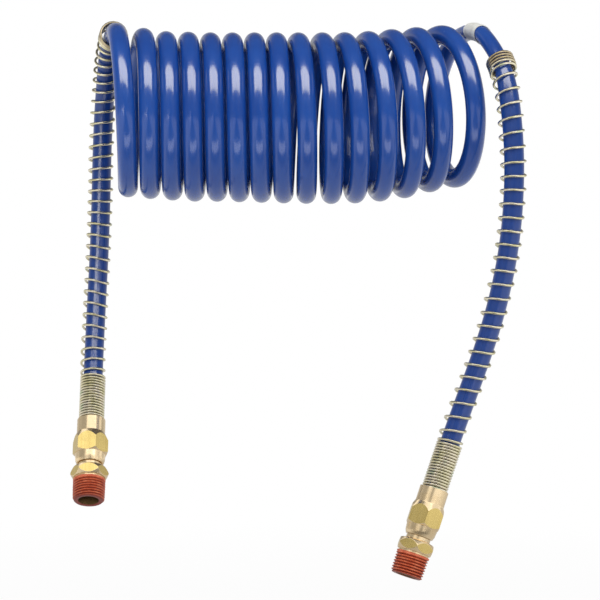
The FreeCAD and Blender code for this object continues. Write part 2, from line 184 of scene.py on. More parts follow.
def leadStart(hand):
    # where a lead leaves the coil, and the way it goes
    turn = 0 if hand == "left" else hose["turns"]
    middle, along = axisAt(turn)
    way = -along.cross(up) if hand == "left" else along.cross(up)
    return middle + up * hose["coilRadius"], way


fittings = {}
for hand in ("left", "right"):
    leave, way = leadStart(hand)
    corners = [leave + Vector(corner) * mm for corner in leadCorners[hand]]
    tip = leave + Vector(leadTips[hand]) * mm
    axis = (corners[-1] - tip).normalized()
    side = backwards.cross(axis).normalized()
    place = Matrix((side, axis.cross(side), axis)).transposed().to_4x4()
    place.translation = tip
    bends = [leave + way * hose["firstRun"]] + corners
    for i, nudge in enumerate(leadNudges[hand]):
        bends[i] = bends[i] + Vector(nudge) * mm
    points = bends + [tip + axis * hose["hoseEnd"]]
    fittings[hand] = {"tip": tip, "axis": axis, "place": place, "points": points}

pointsPerTurn = hose["pointsPerTurn"]
coilPoints = [coilPoint((k + 0.5) / pointsPerTurn) for k in range(hose["turns"] * pointsPerTurn)]
routePoints = fittings["left"]["points"][::-1] + coilPoints + fittings["right"]["points"]


def smoothLine(points, stepsBetween):
    # the points of one NURBS spline with these control points
    curve = bpy.data.curves.new("route", "CURVE")
    curve.dimensions = "3D"
    curve.resolution_u = stepsBetween
    spline = curve.splines.new("NURBS")
    spline.points.add(len(points) - 1)
    for knot, point in zip(spline.points, points):
        knot.co = (*point, 1)
    spline.order_u = 3
    spline.use_endpoint_u = True
    route = bpy.data.objects.new("route", curve)
    bpy.context.scene.collection.objects.link(route)
    mesh = bpy.data.meshes.new_from_object(route)
    line = [vertex.co.copy() for vertex in mesh.vertices]
    bpy.data.objects.remove(route)
    bpy.data.meshes.remove(mesh)
    return line


def lengths(line):
    # the distance along a line at each of its points
    passed = [0.0]
    for before, after in zip(line, line[1:]):
        passed.append(passed[-1] + (after - before).length)
    return passed


def framesAlong(line):
    # at each point the way ahead and two ways across, turned as little as can be from one to the next
    across = Vector((1, 0, 0))
    frames = []
    for i, point in enumerate(line):
        ahead = (line[min(i + 1, len(line) - 1)] - line[max(i - 1, 0)]).normalized()
        across = (across - ahead * across.dot(ahead)).normalized()
        frames.append((point, ahead, across, ahead.cross(across)))
    return frames


def frameAt(frames, passed, distance):
    # the same, so far along the line
    at = min(max(bisect.bisect_left(passed, distance) - 1, 0), len(passed) - 2)
    share = (distance - passed[at]) / (passed[at + 1] - passed[at])
    return [before.lerp(after, share) for before, after in zip(frames[at], frames[at + 1])]


def indexNear(line, place):
    return min(range(len(line)), key=lambda i: (line[i] - place).length)


def ease(share):
    share = min(1.0, max(0.0, share))
    return share * share * (3 - 2 * share)


def ovalShare(distance):
    # how far the hose is out of round, so far along the right lead from the coil
    rising = (distance - hose["ovalFrom"]) / (hose["ovalBy"] - hose["ovalFrom"])
    falling = (distance - hose["ovalUpTo"]) / (hose["roundFrom"] - hose["ovalUpTo"])
    return ease(rising) * (1 - ease(falling))


def squashed(offset, ahead, share):
    # a point of the wall, moved in from the sides and out the other way across
    thin = ahead.cross(backwards).normalized()
    wide = ahead.cross(thin)
    inwards = thin * offset.dot(thin) * hose["flatter"] * share
    return offset - inwards + wide * offset.dot(wide) * hose["wider"] * share


def tubeMesh(name, line, radius, sides, ovals=None):
    # a closed tube round a line, with a UV map of share around and metres along
    mesh = bpy.data.meshes.new(name)
    passed = lengths(line)
    points = []
    for i, (point, ahead, across, over) in enumerate(framesAlong(line)):
        for j in range(sides):
            angle = 2 * math.pi * j / sides
            offset = (across * math.cos(angle) + over * math.sin(angle)) * radius
            if ovals and ovals[i] > 0:
                offset = squashed(offset, ahead, ovals[i])
            points.append(point + offset)
    faces = []
    for i in range(len(line) - 1):
        for j in range(sides):
            beside = (j + 1) % sides
            faces.append((i * sides + j, i * sides + beside, (i + 1) * sides + beside, (i + 1) * sides + j))
    faces.append(tuple(range(sides))[::-1])
    faces.append(tuple(range((len(line) - 1) * sides, len(line) * sides)))
    mesh.from_pydata(points, [], faces)
    layer = mesh.uv_layers.new(name="along").data
    for face in mesh.polygons:
        for corner in face.loop_indices:
            ring, spoke = divmod(mesh.loops[corner].vertex_index, sides)
            if len(face.vertices) == 4 and spoke == 0 and face.vertices[0] % sides == sides - 1:
                spoke = sides
            layer[corner].uv = (spoke / sides, passed[ring])
    mesh.polygons.foreach_set("use_smooth", [len(face.vertices) == 4 for face in mesh.polygons])
    piece = bpy.data.objects.new(name, mesh)
    bpy.context.scene.collection.objects.link(piece)
    return piece


hoseLine = smoothLine(routePoints, hose["stepsBetween"])
hosePassed = lengths(hoseLine)
coilFrom, coilTo = [hosePassed[indexNear(hoseLine, coilPoints[n])] for n in (0, -1)]
rightFrom = hosePassed[indexNear(hoseLine, leadStart("right")[0])]
hoseOvals = [ovalShare(passed - rightFrom) for passed in hosePassed]
hosePiece = tubeMesh("hose", hoseLine, hose["diameter"] / 2, hose["sides"], hoseOvals)
print("hose:", len(hoseLine), "rings, length", round(hosePassed[-1], 3))


def leadLine(hand):
    # the hose's line from the coil to its end in the fitting
    reach = (len(fittings[hand]["points"]) + 2) * hose["stepsBetween"]
    part = hoseLine[:reach][::-1] if hand == "left" else hoseLine[-reach:]
    return part[indexNear(part, leadStart(hand)[0]):]


# Each ring of the hose gets a share of the way along the coil, 0 before it and 1 past it, evenly along the
# turns; nothing here uses these shares
tuple(axisAt(hose["turns"])[0])
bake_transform(hosePiece)
weights = []
for passed in hosePassed:
    share = min(1.0, max(0.0, (passed - coilFrom) / (coilTo - coilFrom)))
    weights += [share] * hose["sides"]
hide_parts("coil", "left_lead", "right_lead")


# Wire guards

guard = {
    "wire": 1.6 * mm,
    "sides": 10,
    "around": 20,                       # points to a turn
    "tailLength": 29.8 * mm,            # of the turns that all but touch, at the fitting
    "headTurns": 3.1,                   # turns like those at the coil
    "headPitch": 1.95 * mm,
    "tailRadius": 7.7 * mm,             # to the middle of the wire
    "openRadius": 7.75 * mm,
    "headRadius": 8.55 * mm,
    "flareTurns": 1.5,                  # open turns over which the flare at the coil dies away
    "slack": 0.56 * mm,                 # how far the open turns hang to one side of the hose
    "waves": 40,                        # how quickly slack and pitch vary along the lead, and by what share
    "slackVaries": 0.6,
    "pitchVaries": 0.12,
    "collarTop": 57.6 * mm,             # from a fitting's open end to the top of its collar
    "seat": 1.6 * mm,                   # depth of the collar's seat for the guard
    "seatGap": 0.1 * mm,
    # where it starts along the lead, how far its first turns are pushed up on the hose, and how far
    # the open ones lean, in degrees, at distances along in millimetres
    "left": {
        "start": 17 * mm, "rise": 0.8 * mm, "tailPitch": 1.90 * mm, "openPitch": 7.7 * mm, "seed": 3.1,
        "lean": ((100, 0), (180, 19), (232, 17), (250, 4)),
    },
    "right": {
        "start": 57 * mm, "rise": 0, "tailPitch": 1.83 * mm, "openPitch": 8.8 * mm, "seed": 7.7,
        "lean": ((70, 0), (160, 11), (230, 2), (300, 0)),
    },
}


def guardLine(hand):
    # the middle of the wire, wound from the coil's end of a lead down into its collar
    own = guard[hand]
    line = leadLine(hand)
    passed = lengths(line)
    frames = framesAlong(line)
    foot = passed[-1] - (guard["collarTop"] - hose["hoseEnd"])
    foot += guard["seat"] - guard["wire"] / 2 - guard["seatGap"]
    headEnd = own["start"] + guard["headTurns"] * guard["headPitch"]
    tailStart = foot - guard["tailLength"]
    openTurns = max(1, round((tailStart - headEnd) / own["openPitch"]))
    openPitch = (tailStart - headEnd) / openTurns
    distance, turned = own["start"], 0.0
    points = []
    while distance <= foot:
        point, ahead, across, over = frameAt(frames, passed, distance)
        openness = ease((distance - headEnd) / openPitch) * ease((tailStart - distance) / openPitch)
        flare = 1 - ease((distance - headEnd) / (guard["flareTurns"] * openPitch))
        radius = guard["openRadius"] + (guard["headRadius"] - guard["openRadius"]) * flare
        radius += (guard["tailRadius"] - guard["openRadius"]) * ease((distance - tailStart) / openPitch + 1)
        unevenness = noise.noise(Vector((distance * guard["waves"], own["seed"], 0)))
        slack = guard["slack"] * openness * (1 + guard["slackVaries"] * unevenness)
        lean = math.radians(between(own["lean"], distance / mm))
        out = across * math.cos(turned) + over * math.sin(turned)
        point += up * own["rise"] * flare - Vector((slack, 0, 0))
        points.append(point + out * radius + ahead * out.x * radius * math.tan(lean))
        closedPitch = guard["headPitch"] if distance < headEnd + openPitch else own["tailPitch"]
        pitch = closedPitch + (openPitch - closedPitch) * openness
        pitch *= 1 + guard["pitchVaries"] * unevenness * openness
        distance += pitch / guard["around"]
        turned += 2 * math.pi / guard["around"]
    return points


guardPieces = {}
for hand, carrier in carriers.items():
    points = guardLine(hand)
    piece = tubeMesh(hand + "SpringGuard", points, guard["wire"] / 2, guard["sides"])
    guardPieces[hand] = piece
    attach(piece, carrier)
    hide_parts(hand + "_spring_guard")
    turns = round(len(points) / guard["around"], 1)
    print(hand, "guard:", turns, "turns,", len(piece.data.polygons), "faces")


# Brass fittings

fitting = {
    "edge": 0.18 * mm,                  # rounding of the machined edges
    "edgeAngle": math.radians(24),      # and from what angle an edge gets it
    "merge": 0.002 * mm,
    "flatUpTo": math.radians(0.4),      # triangles that lean less than this become one face
    "smoothUpTo": math.radians(30),
    "cutHeight": 14.41 * mm,            # the thread is a piece of its own below this
}
thread = {
    "length": 14.4 * mm,
    "pitch": 25.4 / 14 * mm,
    "crest": 10.67 * mm,                # crest radius past the taper
    "taper": 1 / 32,                    # on the radius
    "taperLength": 8 * mm,
    "depth": 1.25 * mm,                 # the coat fills the roots a little
    "rounding": 0.55,                   # how much of the V ridge's profile is rounded
    "leadIn": 1.1 * mm,
    "runOut": 2.4 * mm,                 # the last turns before the hex fade out
    "bore": 6.75 * mm,
    "lip": 0.25 * mm,                   # chamfer at the mouth of the bore
    "shapedFrom": 7.15 * mm,            # nearer to the axis than this, it stays plain
    "bump": 0.07 * mm,                  # unevenness of the coat, less of it where the ridges fade
    "bumpLeft": 0.4,
    "bumpsAround": 3,                   # how close together they are, around and up
    "bumpsUp": 0.8,
    "around": 96,
    "perTurn": 14,
    "smoothUpTo": math.radians(50),
}


def openFor(piece):
    bpy.ops.object.select_all(action="DESELECT")
    piece.select_set(True)
    bpy.context.view_layer.objects.active = piece


def applyAll(piece):
    openFor(piece)
    for modifier in list(piece.modifiers):
        bpy.ops.object.modifier_apply(modifier=modifier.name)


def copyOf(node, name):
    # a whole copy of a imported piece, its loose triangles merged and its flat faces made one
    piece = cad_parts[node].copy()
    piece.data = piece.data.copy()
    piece.name = piece.data.name = name
    piece.parent = None
    piece.hide_render = False
    for key in list(piece.keys()):
        if key.startswith("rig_"):
            del piece[key]
    bpy.context.scene.collection.objects.link(piece)
    openFor(piece)
    bpy.ops.object.mode_set(mode="EDIT")
    bpy.ops.mesh.select_all(action="SELECT")
    bpy.ops.mesh.remove_doubles(threshold=fitting["merge"])
    bpy.ops.mesh.customdata_custom_splitnormals_clear()
    bpy.ops.mesh.dissolve_limited(angle_limit=fitting["flatUpTo"])
    bpy.ops.object.mode_set(mode="OBJECT")
    return piece


def selectEdges(piece, wanted):
    # in edit mode, the edges whose two ends are as wanted
    bpy.ops.mesh.select_mode(type="EDGE")
    bpy.ops.mesh.select_all(action="DESELECT")
    bpy.ops.object.mode_set(mode="OBJECT")
    for edge in piece.data.edges:
        edge.select = wanted(*[piece.data.vertices[v].co for v in edge.vertices])
    bpy.ops.object.mode_set(mode="EDIT")


def bridgeOpenEdges():
    bpy.ops.mesh.select_mode(type="EDGE")
    bpy.ops.mesh.select_all(action="DESELECT")
    bpy.ops.mesh.select_non_manifold(
        extend=False, use_wire=False, use_boundary=True,
        use_multi_face=False, use_non_contiguous=False, use_verts=False,
    )
    bpy.ops.mesh.bridge_edge_loops()


def cutThread(piece, place):
    # take the plain thread blank off, and close the ring it leaves
    openFor(piece)
    bpy.ops.object.mode_set(mode="EDIT")
    bpy.ops.mesh.select_all(action="SELECT")
    bpy.ops.mesh.bisect(
        plane_co=place @ Vector((0, 0, fitting["cutHeight"])),
        plane_no=place.to_3x3() @ up,
        clear_inner=True,
    )
    bridgeOpenEdges()
    bpy.ops.object.mode_set(mode="OBJECT")


def roundEdges(piece):
    openFor(piece)
    bevel = piece.modifiers.new("edges", "BEVEL")
    bevel.width = fitting["edge"]
    bevel.segments = 2
    bevel.limit_method = "ANGLE"
    bevel.angle_limit = fitting["edgeAngle"]
    bevel.use_clamp_overlap = True
    applyAll(piece)
    bpy.ops.object.shade_smooth_by_angle(angle=fitting["smoothUpTo"])
    flats = piece.modifiers.new("flats", "WEIGHTED_NORMAL")
    flats.keep_sharp = True
    applyAll(piece)


def threadRadius(height, angle):
    # the coated thread's surface: a V ridge a turn, on the taper, fading at both ends
    limit = thread["crest"] - max(0.0, thread["taperLength"] - height) * thread["taper"]
    phase = (height / thread["pitch"] - angle / (2 * math.pi)) % 1.0
    ridge = 1 - abs(2 * phase - 1)
    ridge = ease(ridge) * thread["rounding"] + ridge * (1 - thread["rounding"])
    fade = ease((thread["length"] - height) / thread["runOut"])
    around = Vector((math.cos(angle), math.sin(angle), 0)) * thread["bumpsAround"]
    bump = thread["bump"] * noise.noise(around + up * height / mm * thread["bumpsUp"])
    bump *= thread["bumpLeft"] + (1 - thread["bumpLeft"]) * fade
    radius = limit - thread["depth"] * fade * (1 - ridge) + bump
    # the lead-in is a cone cut over the first turns
    return min(radius, limit - thread["leadIn"] + height)


def makeThread(hand):
    length, bore, mouth = thread["length"], thread["bore"], thread["bore"] + thread["lip"]
    bpy.ops.mesh.primitive_cylinder_add(
        vertices=thread["around"], radius=thread["crest"], depth=length,
        end_fill_type="NOTHING", location=(0, 0, length / 2),
    )
    piece = bpy.context.object
    piece.name = piece.data.name = hand + "PipeThread"
    bpy.ops.object.transform_apply(location=True, rotation=False, scale=False)
    bpy.ops.object.mode_set(mode="EDIT")
    selectEdges(piece, lambda low, high: abs(high.z - low.z) > length / 2)
    bpy.ops.mesh.subdivide(number_cuts=int(length / thread["pitch"] * thread["perTurn"]) - 1)
    # the two ends are drawn in to the bore, and the bore walls joined
    for height in (0, length):
        selectEdges(piece, lambda *ends: all(
            abs(end.z - height) < fitting["merge"] and end.xy.length > mouth for end in ends
        ))
        for share in (mouth / thread["crest"], bore / mouth):
            bpy.ops.mesh.extrude_region_move()
            bpy.ops.transform.resize(value=(share, share, 1), center_override=(0, 0, height))
        if height == 0:
            bpy.ops.transform.translate(value=(0, 0, thread["lip"]))
    bridgeOpenEdges()
    bpy.ops.mesh.select_all(action="SELECT")
    bpy.ops.mesh.normals_make_consistent(inside=False)
    bpy.ops.object.mode_set(mode="OBJECT")
    for vertex in piece.data.vertices:
        if vertex.co.xy.length >= thread["shapedFrom"]:
            angle = math.atan2(vertex.co.y, vertex.co.x)
            vertex.co.xy = vertex.co.xy.normalized() * threadRadius(vertex.co.z, angle)
    piece.data.transform(fittings[hand]["place"])
    openFor(piece)
    bpy.ops.object.shade_smooth_by_angle(angle=thread["smoothUpTo"])
    return piece


threadPieces, turnedPieces = {}, {}
for hand, carrier in carriers.items():
    swivel = hand + "_swivel"
    stub = copyOf(hand + "_swivel_stub", hand + "SwivelStub")
    cutThread(stub, fittings[hand]["place"])
    socket = copyOf(hand + "_hose_socket", hand + "HoseSocket")
    for piece, body, node in ((stub, swivel, "_swivel_stub"), (socket, carrier, "_hose_socket")):
        roundEdges(piece)
        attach(piece, body)
        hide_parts(hand + node)
    turnedPieces[hand] = (socket, stub)
    threadPieces[hand] = makeThread(hand)
    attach(threadPieces[hand], swivel)
    made = (stub, socket, threadPieces[hand])
    print(hand, "fitting:", [len(piece.data.polygons) for piece in made], "faces")


# Marker tape

tape = {
    "start": 9.2 * mm,                  # along the right lead from the coil
    "width": 17.4 * mm,
    "thickness": 0.22 * mm,
    "wraps": 1.8,
    "firstAngle": -0.6,
    "skew": 0.7 * mm,                   # how far along the lead it creeps
    "gap": 0.16 * mm,                   # from the hose to the middle of the first wrap
    "lap": 1.15,                        # how far a wrap stands off the one below, in thicknesses
    "crease": 0.10 * mm,
    "creasesAround": 2.2,               # how close together they are, around and along
    "creasesAlong": 700,
    "seed": 1.7,
    "around": 72,
    "across": 12,
    "smoothUpTo": math.radians(40),
}


def makeTape():
    line = leadLine("right")
    passed = lengths(line)
    frames = framesAlong(line)
    steps = int(tape["around"] * tape["wraps"])
    points, faces = [], []
    for i in range(steps + 1):
        angle = 2 * math.pi * i / tape["around"] + tape["firstAngle"]
        for j in range(tape["across"] + 1):
            distance = tape["start"] + tape["skew"] * i / steps + tape["width"] * j / tape["across"]
            middle, ahead, across, over = frameAt(frames, passed, distance)
            waves = Vector((angle * tape["creasesAround"], distance * tape["creasesAlong"], tape["seed"]))
            radius = hose["diameter"] / 2 + tape["gap"] + tape["crease"] * noise.noise(waves)
            radius += tape["thickness"] * tape["lap"] * i / tape["around"]
            offset = (across * math.cos(angle) + over * math.sin(angle)) * radius
            points.append(middle + squashed(offset, ahead, ovalShare(distance)))
    row = tape["across"] + 1
    for i in range(steps):
        for j in range(tape["across"]):
            faces.append((i * row + j, i * row + j + 1, (i + 1) * row + j + 1, (i + 1) * row + j))
    mesh = bpy.data.meshes.new("markerTape")
    mesh.from_pydata(points, [], faces)
    piece = bpy.data.objects.new("markerTape", mesh)
    bpy.context.scene.collection.objects.link(piece)
    openFor(piece)
    solid = piece.modifiers.new("thickness", "SOLIDIFY")
    solid.thickness = tape["thickness"]
    solid.offset = 0
    applyAll(piece)
    bpy.ops.object.shade_smooth_by_angle(angle=tape["smoothUpTo"])
    return piece


tapePiece = makeTape()
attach(tapePiece, "pulled_end")
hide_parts("marker_band")
print("tape:", len(tapePiece.data.polygons), "faces")


# Materials

class NodeValue:
    # what comes out of one socket of a material's nodes, on which sums can be written
    def __init__(self, shader, socket):
        self.shader, self.socket = shader, socket

    def __add__(self, other):
        return self.shader.sum("ADD", self, other)

    def __sub__(self, other):
        return self.shader.sum("SUBTRACT", self, other)

    def __rsub__(self, other):
        return self.shader.sum("SUBTRACT", other, self)

    def __mul__(self, other):
        return self.shader.sum("MULTIPLY", self, other)

    __radd__ = __add__
    __rmul__ = __mul__


class Shader:
    # a material or a world, and one way to add any node to it
    def __init__(self, name, kind=bpy.data.materials):
        self.owner = kind.new(name)
        self.owner.use_nodes = True
        self.tree = self.owner.node_tree
        self.tree.nodes.clear()

    def add(self, kind, settings=None, values=None, out=0):
        node = self.tree.nodes.new(kind)
        for key, value in (settings or {}).items():
            if key == "stops":
                ramp = node.color_ramp
                while len(ramp.elements) < len(value):
                    ramp.elements.new(0.5)
                for element, (place, colour) in zip(ramp.elements, value):
                    element.position = place
                    element.color = (*colour, 1)
            else:
                setattr(node, key, value)
        for key, value in (values or {}).items():
            if isinstance(value, NodeValue):
                self.tree.links.new(value.socket, node.inputs[key])
            elif isinstance(value, tuple) and len(value) == 3 and len(node.inputs[key].default_value) == 4:
                node.inputs[key].default_value = (*value, 1)
            else:
                node.inputs[key].default_value = value
        return NodeValue(self, node.outputs[out]) if len(node.outputs) else None

    def sum(self, operation, *values):
        return self.add("ShaderNodeMath", {"operation": operation}, dict(enumerate(values)))

    def vectors(self, operation, *values, out=0):
        # for a length or a dot product, which is a number, out is 1
        return self.add("ShaderNodeVectorMath", {"operation": operation}, dict(enumerate(values)), out)

    def ramp(self, factor, stops):
        return self.add("ShaderNodeValToRGB", {"stops": stops}, {0: factor})

    def grey(self, factor, zeroAt, oneAt):
        # a value stretched so that one level becomes 0 and the other 1, and held there past them
        return self.add("ShaderNodeMapRange", {}, {0: factor, 1: zeroAt, 2: oneAt})

    def mixed(self, factor, first, last):
        return self.add("ShaderNodeMix", {"data_type": "RGBA"}, {0: factor, 6: first, 7: last}, 2)

    def noise(self, vector, scale, detail=2.0, roughness=0.5):
        values = {"Vector": vector, "Scale": scale, "Detail": detail, "Roughness": roughness}
        return self.add("ShaderNodeTexNoise", {}, values)

    def rings(self, height, scale, detail):
        # noise along one line only
        values = {"W": height, "Scale": scale, "Detail": detail}
        return self.add("ShaderNodeTexNoise", {"noise_dimensions": "1D"}, values)

    def onPiece(self):
        return self.add("ShaderNodeTexCoord", out=3)

    def alongPiece(self):
        # share around and metres along
        return self.add("ShaderNodeUVMap", {"uv_map": "along"})

    def part(self, vector, n):
        # one of a vector's three numbers
        return self.add("ShaderNodeSeparateXYZ", {}, {0: vector}, n)

    def scaled(self, vector, scale):
        return self.add("ShaderNodeMapping", {}, {"Vector": vector, "Scale": scale})

    def bump(self, height, strength, depth):
        return self.add("ShaderNodeBump", {}, {"Strength": strength, "Distance": depth, "Height": height})

    def rays(self, *names):
        # whether a ray is one of these kinds
        paths = self.add("ShaderNodeLightPath").socket.node.outputs
        found = NodeValue(self, paths[names[0]])
        for name in names[1:]:
            found = self.sum("MAXIMUM", found, NodeValue(self, paths[name]))
        return found

    def finish(self, surface, output="ShaderNodeOutputMaterial"):
        self.add(output, {}, {0: surface})
        return self.owner

    def principled(self, values):
        return self.finish(self.add("ShaderNodeBsdfPrincipled", {}, values))


nylonFinish = {
    "deep": (0.008, 0.060, 0.315),
    "light": (0.012, 0.076, 0.360),
    "scuff": (0.07, 0.14, 0.38),
    "scuffShare": 0.08,
    "roughness": 0.17,
    # under the guards the leads are painted darker, partly as painted shade of the guard wires and partly
    # as wear, and made duller, from and fully by these distances out of the coil
    "guardShadeAndWear": (0.007, 0.047, 0.250),
    "rubbedDuller": 0.08,
    "leftGuardShadeAndWear": (20 * mm, 45 * mm),
    "rightGuardShadeAndWear": (50 * mm, 90 * mm),
}


def nylon():
    look = Shader("hose nylon")
    along = look.alongPiece()
    metres = look.part(along, 1)
    # where the guards are: the mask for the painted shade of their wires with wear, and for the duller
    # finish
    guardShadeAndWear = look.grey(metres, *[coilFrom - past for past in nylonFinish["leftGuardShadeAndWear"]])
    guardShadeAndWear += look.grey(metres, *[coilTo + past for past in nylonFinish["rightGuardShadeAndWear"]])
    streaks = look.noise(look.scaled(along, (26, 3, 1)), scale=1.0, detail=3)
    patches = look.noise(look.onPiece(), scale=28, detail=3)
    scuffs = look.noise(look.scaled(along, (9, 260, 1)), scale=1.0, detail=4, roughness=0.7)
    scuffed = look.grey(scuffs, 0.62, 0.8)
    colour = look.mixed(look.grey(patches, 0.35, 0.7), nylonFinish["deep"], nylonFinish["light"])
    colour = look.mixed(scuffed * nylonFinish["scuffShare"], colour, nylonFinish["scuff"])
    # painted shade of the guard wires, with wear: the leads darker under the guards
    colour = look.mixed(guardShadeAndWear, colour, nylonFinish["guardShadeAndWear"])
    rough = nylonFinish["roughness"] + 0.07 * streaks + 0.14 * scuffed
    rough += nylonFinish["rubbedDuller"] * guardShadeAndWear
    return look.principled({
        "Base Color": colour, "Roughness": rough, "IOR": 1.53, "Coat Weight": 0.25, "Coat Roughness": 0.12,
        "Normal": look.bump(streaks + 0.3 * scuffs, strength=0.12, depth=0.12 * mm),
    })


zincFinish = {
    "tints": (
        (0.0, (0.66, 0.61, 0.36)), (0.4, (0.82, 0.76, 0.53)),
        (0.75, (0.86, 0.78, 0.62)), (1.0, (0.64, 0.68, 0.46)),
    ),
    "roughness": 0.16,
    # the head rings, up to one distance along the wire, are painted darker and browner, partly as painted
    # shade and partly as browned plating, and from the next distance on the wire is even
    "headShadeAndBrowning": (0.44, 0.34, 0.20),
    "headShadeAndBrowningShare": 0.75,
    "headShadeAndBrowningTo": 160 * mm,
    "headShadeAndBrowningGoneFrom": 180 * mm,
}


def zincWire():
    look = Shader("guard wire")
    where = look.onPiece()
    fine = look.noise(where, scale=1500)
    # the mask of the painted shade and browning on the head rings, along the wire
    headShadeAndBrowning = look.grey(look.part(look.alongPiece(), 1), zincFinish["headShadeAndBrowningGoneFrom"], zincFinish["headShadeAndBrowningTo"])
    colour = look.ramp(look.grey(look.noise(where, scale=140), 0.3, 0.7), zincFinish["tints"])
    # painted shade with browning: the head rings darker and browner
    colour = look.mixed(headShadeAndBrowning * zincFinish["headShadeAndBrowningShare"], colour, zincFinish["headShadeAndBrowning"])
    return look.principled({
        "Base Color": colour, "Metallic": 1.0,
        "Roughness": zincFinish["roughness"] + 0.12 * look.grey(fine, 0.3, 0.7),
        "Normal": look.bump(fine, strength=0.15, depth=0.05 * mm),
    })


brassFinish = {
    # turned brass is paler, and the flats of the hexes, drawn along the bar, are yellower
    "turned": (0.84, 0.66, 0.41),
    "turnedDull": (0.60, 0.38, 0.13),
    "turnedRoughness": 0.14,
    "drawn": (0.79, 0.61, 0.23),
    "drawnDull": (0.62, 0.44, 0.12),
    "drawnRoughness": 0.17,
    # a plane face bigger than this, whose normal is this square to the axis, is a flat of a hex
    "flatArea": 25 * mm * mm,
    "square": 0.02,
    # the bore is tarnished up to one radius and one height, and clean from the next
    "tarnish": (0.16, 0.095, 0.04),
    "boreUpTo": 6.95 * mm,
    "boreEdge": 7.15 * mm,
    "tarnishUpTo": 30 * mm,
    "tarnishGone": 40 * mm,
}


def onFitting(look, hand):
    # where a point is, also by its height over the open end of a fitting, and by how far out from the
    # fitting's axis it is and the way round there
    tip, axis = [tuple(fittings[hand][name]) for name in ("tip", "axis")]
    where = look.onPiece()
    fromTip = look.vectors("SUBTRACT", where, tip)
    around = look.vectors("CROSS_PRODUCT", fromTip, axis)
    return {
        "where": where,
        "height": look.vectors("DOT_PRODUCT", fromTip, axis, out=1),
        "around": around,
        "radius": look.vectors("LENGTH", around, out=1),
    }


def brass(hand):
    # turned along the fitting's own axis
    look = Shader(hand + " brass")
    at = onFitting(look, hand)
    rings = look.rings(at["height"], scale=2600, detail=3)
    bands = look.rings(at["height"], scale=420, detail=1)
    cloud = look.noise(at["where"], scale=110, detail=4, roughness=0.6)
    grain = look.noise(at["where"], scale=1600)
    inside = look.grey(at["radius"], brassFinish["boreEdge"], brassFinish["boreUpTo"])
    inside *= look.grey(at["height"], brassFinish["tarnishGone"], brassFinish["tarnishUpTo"])
    colour = look.mixed(look.grey(cloud, 0.5, 0.85) * 0.5, brassFinish["turned"], brassFinish["turnedDull"])
    rough = brassFinish["turnedRoughness"] + 0.10 * look.grey(cloud, 0.3, 0.75) + 0.08 * bands
    return look.principled({
        "Base Color": look.mixed(inside, colour, brassFinish["tarnish"]), "Metallic": 1.0,
        "Roughness": rough + 0.05 * grain + 0.25 * inside,
        "Normal": look.bump(rings + 0.5 * grain, strength=0.14, depth=0.04 * mm),
    })


def drawnBrass(hand):
    # the flats, streaked along the bar
    look = Shader(hand + " drawn brass")
    at = onFitting(look, hand)
    streaks = look.noise(at["around"], scale=900, detail=3, roughness=0.6)
    cloud = look.noise(at["where"], scale=150, detail=3)
    rough = brassFinish["drawnRoughness"] + 0.10 * look.grey(cloud, 0.3, 0.75) + 0.08 * streaks
    return look.principled({
        "Base Color": look.mixed(
            look.grey(streaks, 0.3, 0.75) * 0.55, brassFinish["drawn"], brassFinish["drawnDull"]
        ),
        "Metallic": 1.0, "Roughness": rough,
        "Normal": look.bump(streaks + 0.5 * cloud, strength=0.2, depth=0.05 * mm),
    })


sealantFinish = {
    "tints": ((0.0, (0.44, 0.066, 0.022)), (0.5, (0.62, 0.125, 0.048)), (1.0, (0.78, 0.24, 0.115))),
    # the thread's roots are painted darker, as painted shade in the grooves, from one radius and fully by
    # the next
    "rootShade": (0.19, 0.016, 0.007),
    "rootShadeFrom": thread["crest"] - 0.35 * mm,
    "rootShadeBy": thread["crest"] - thread["depth"] + 0.1 * mm,
    "roughness": 0.30,
}


def sealant(hand):
    look = Shader(hand + " thread sealant")
    at = onFitting(look, hand)
    patches = look.noise(at["where"], scale=260, detail=4, roughness=0.6)
    grit = look.noise(at["where"], scale=2200, detail=3, roughness=0.6)
    # painted shade in the roots of the thread: darker nearer the axis
    rootShade = look.grey(at["radius"], sealantFinish["rootShadeFrom"], sealantFinish["rootShadeBy"])
    colour = look.ramp(look.grey(patches, 0.25, 0.75), sealantFinish["tints"])
    return look.principled({
        "Base Color": look.mixed(rootShade * 0.9, colour, sealantFinish["rootShade"]),
        "Roughness": sealantFinish["roughness"] + 0.22 * look.grey(grit, 0.3, 0.7),
        "Normal": look.bump(grit + patches, strength=0.35, depth=0.08 * mm),
    })


vinylFinish = {
    "tints": ((0.0, (0.62, 0.61, 0.56)), (0.5, (0.78, 0.78, 0.74)), (1.0, (0.86, 0.86, 0.84))),
    "roughness": 0.42,
}


def vinylTape():
    look = Shader("marker tape")
    where = look.onPiece()
    creases = look.noise(where, scale=420, detail=4, roughness=0.65)
    dirt = look.noise(where, scale=150, detail=3)
    return look.principled({
        "Base Color": look.ramp(look.grey(dirt, 0.3, 0.75), vinylFinish["tints"]),
        "Roughness": vinylFinish["roughness"] + 0.2 * creases,
        "Normal": look.bump(creases, strength=0.5, depth=0.2 * mm),
    })


def plain(name, colour, metallic, roughness):
    look = Shader(name)
    grain = look.noise(look.onPiece(), scale=900)
    return look.principled({
        "Base Color": look.mixed(grain, colour, tuple(0.8 * share for share in colour)),
        "Metallic": metallic, "Roughness": roughness + 0.1 * grain,
    })


def dress(piece, *materials):
    piece.data.materials.clear()
    for material in materials:
        piece.data.materials.append(material)


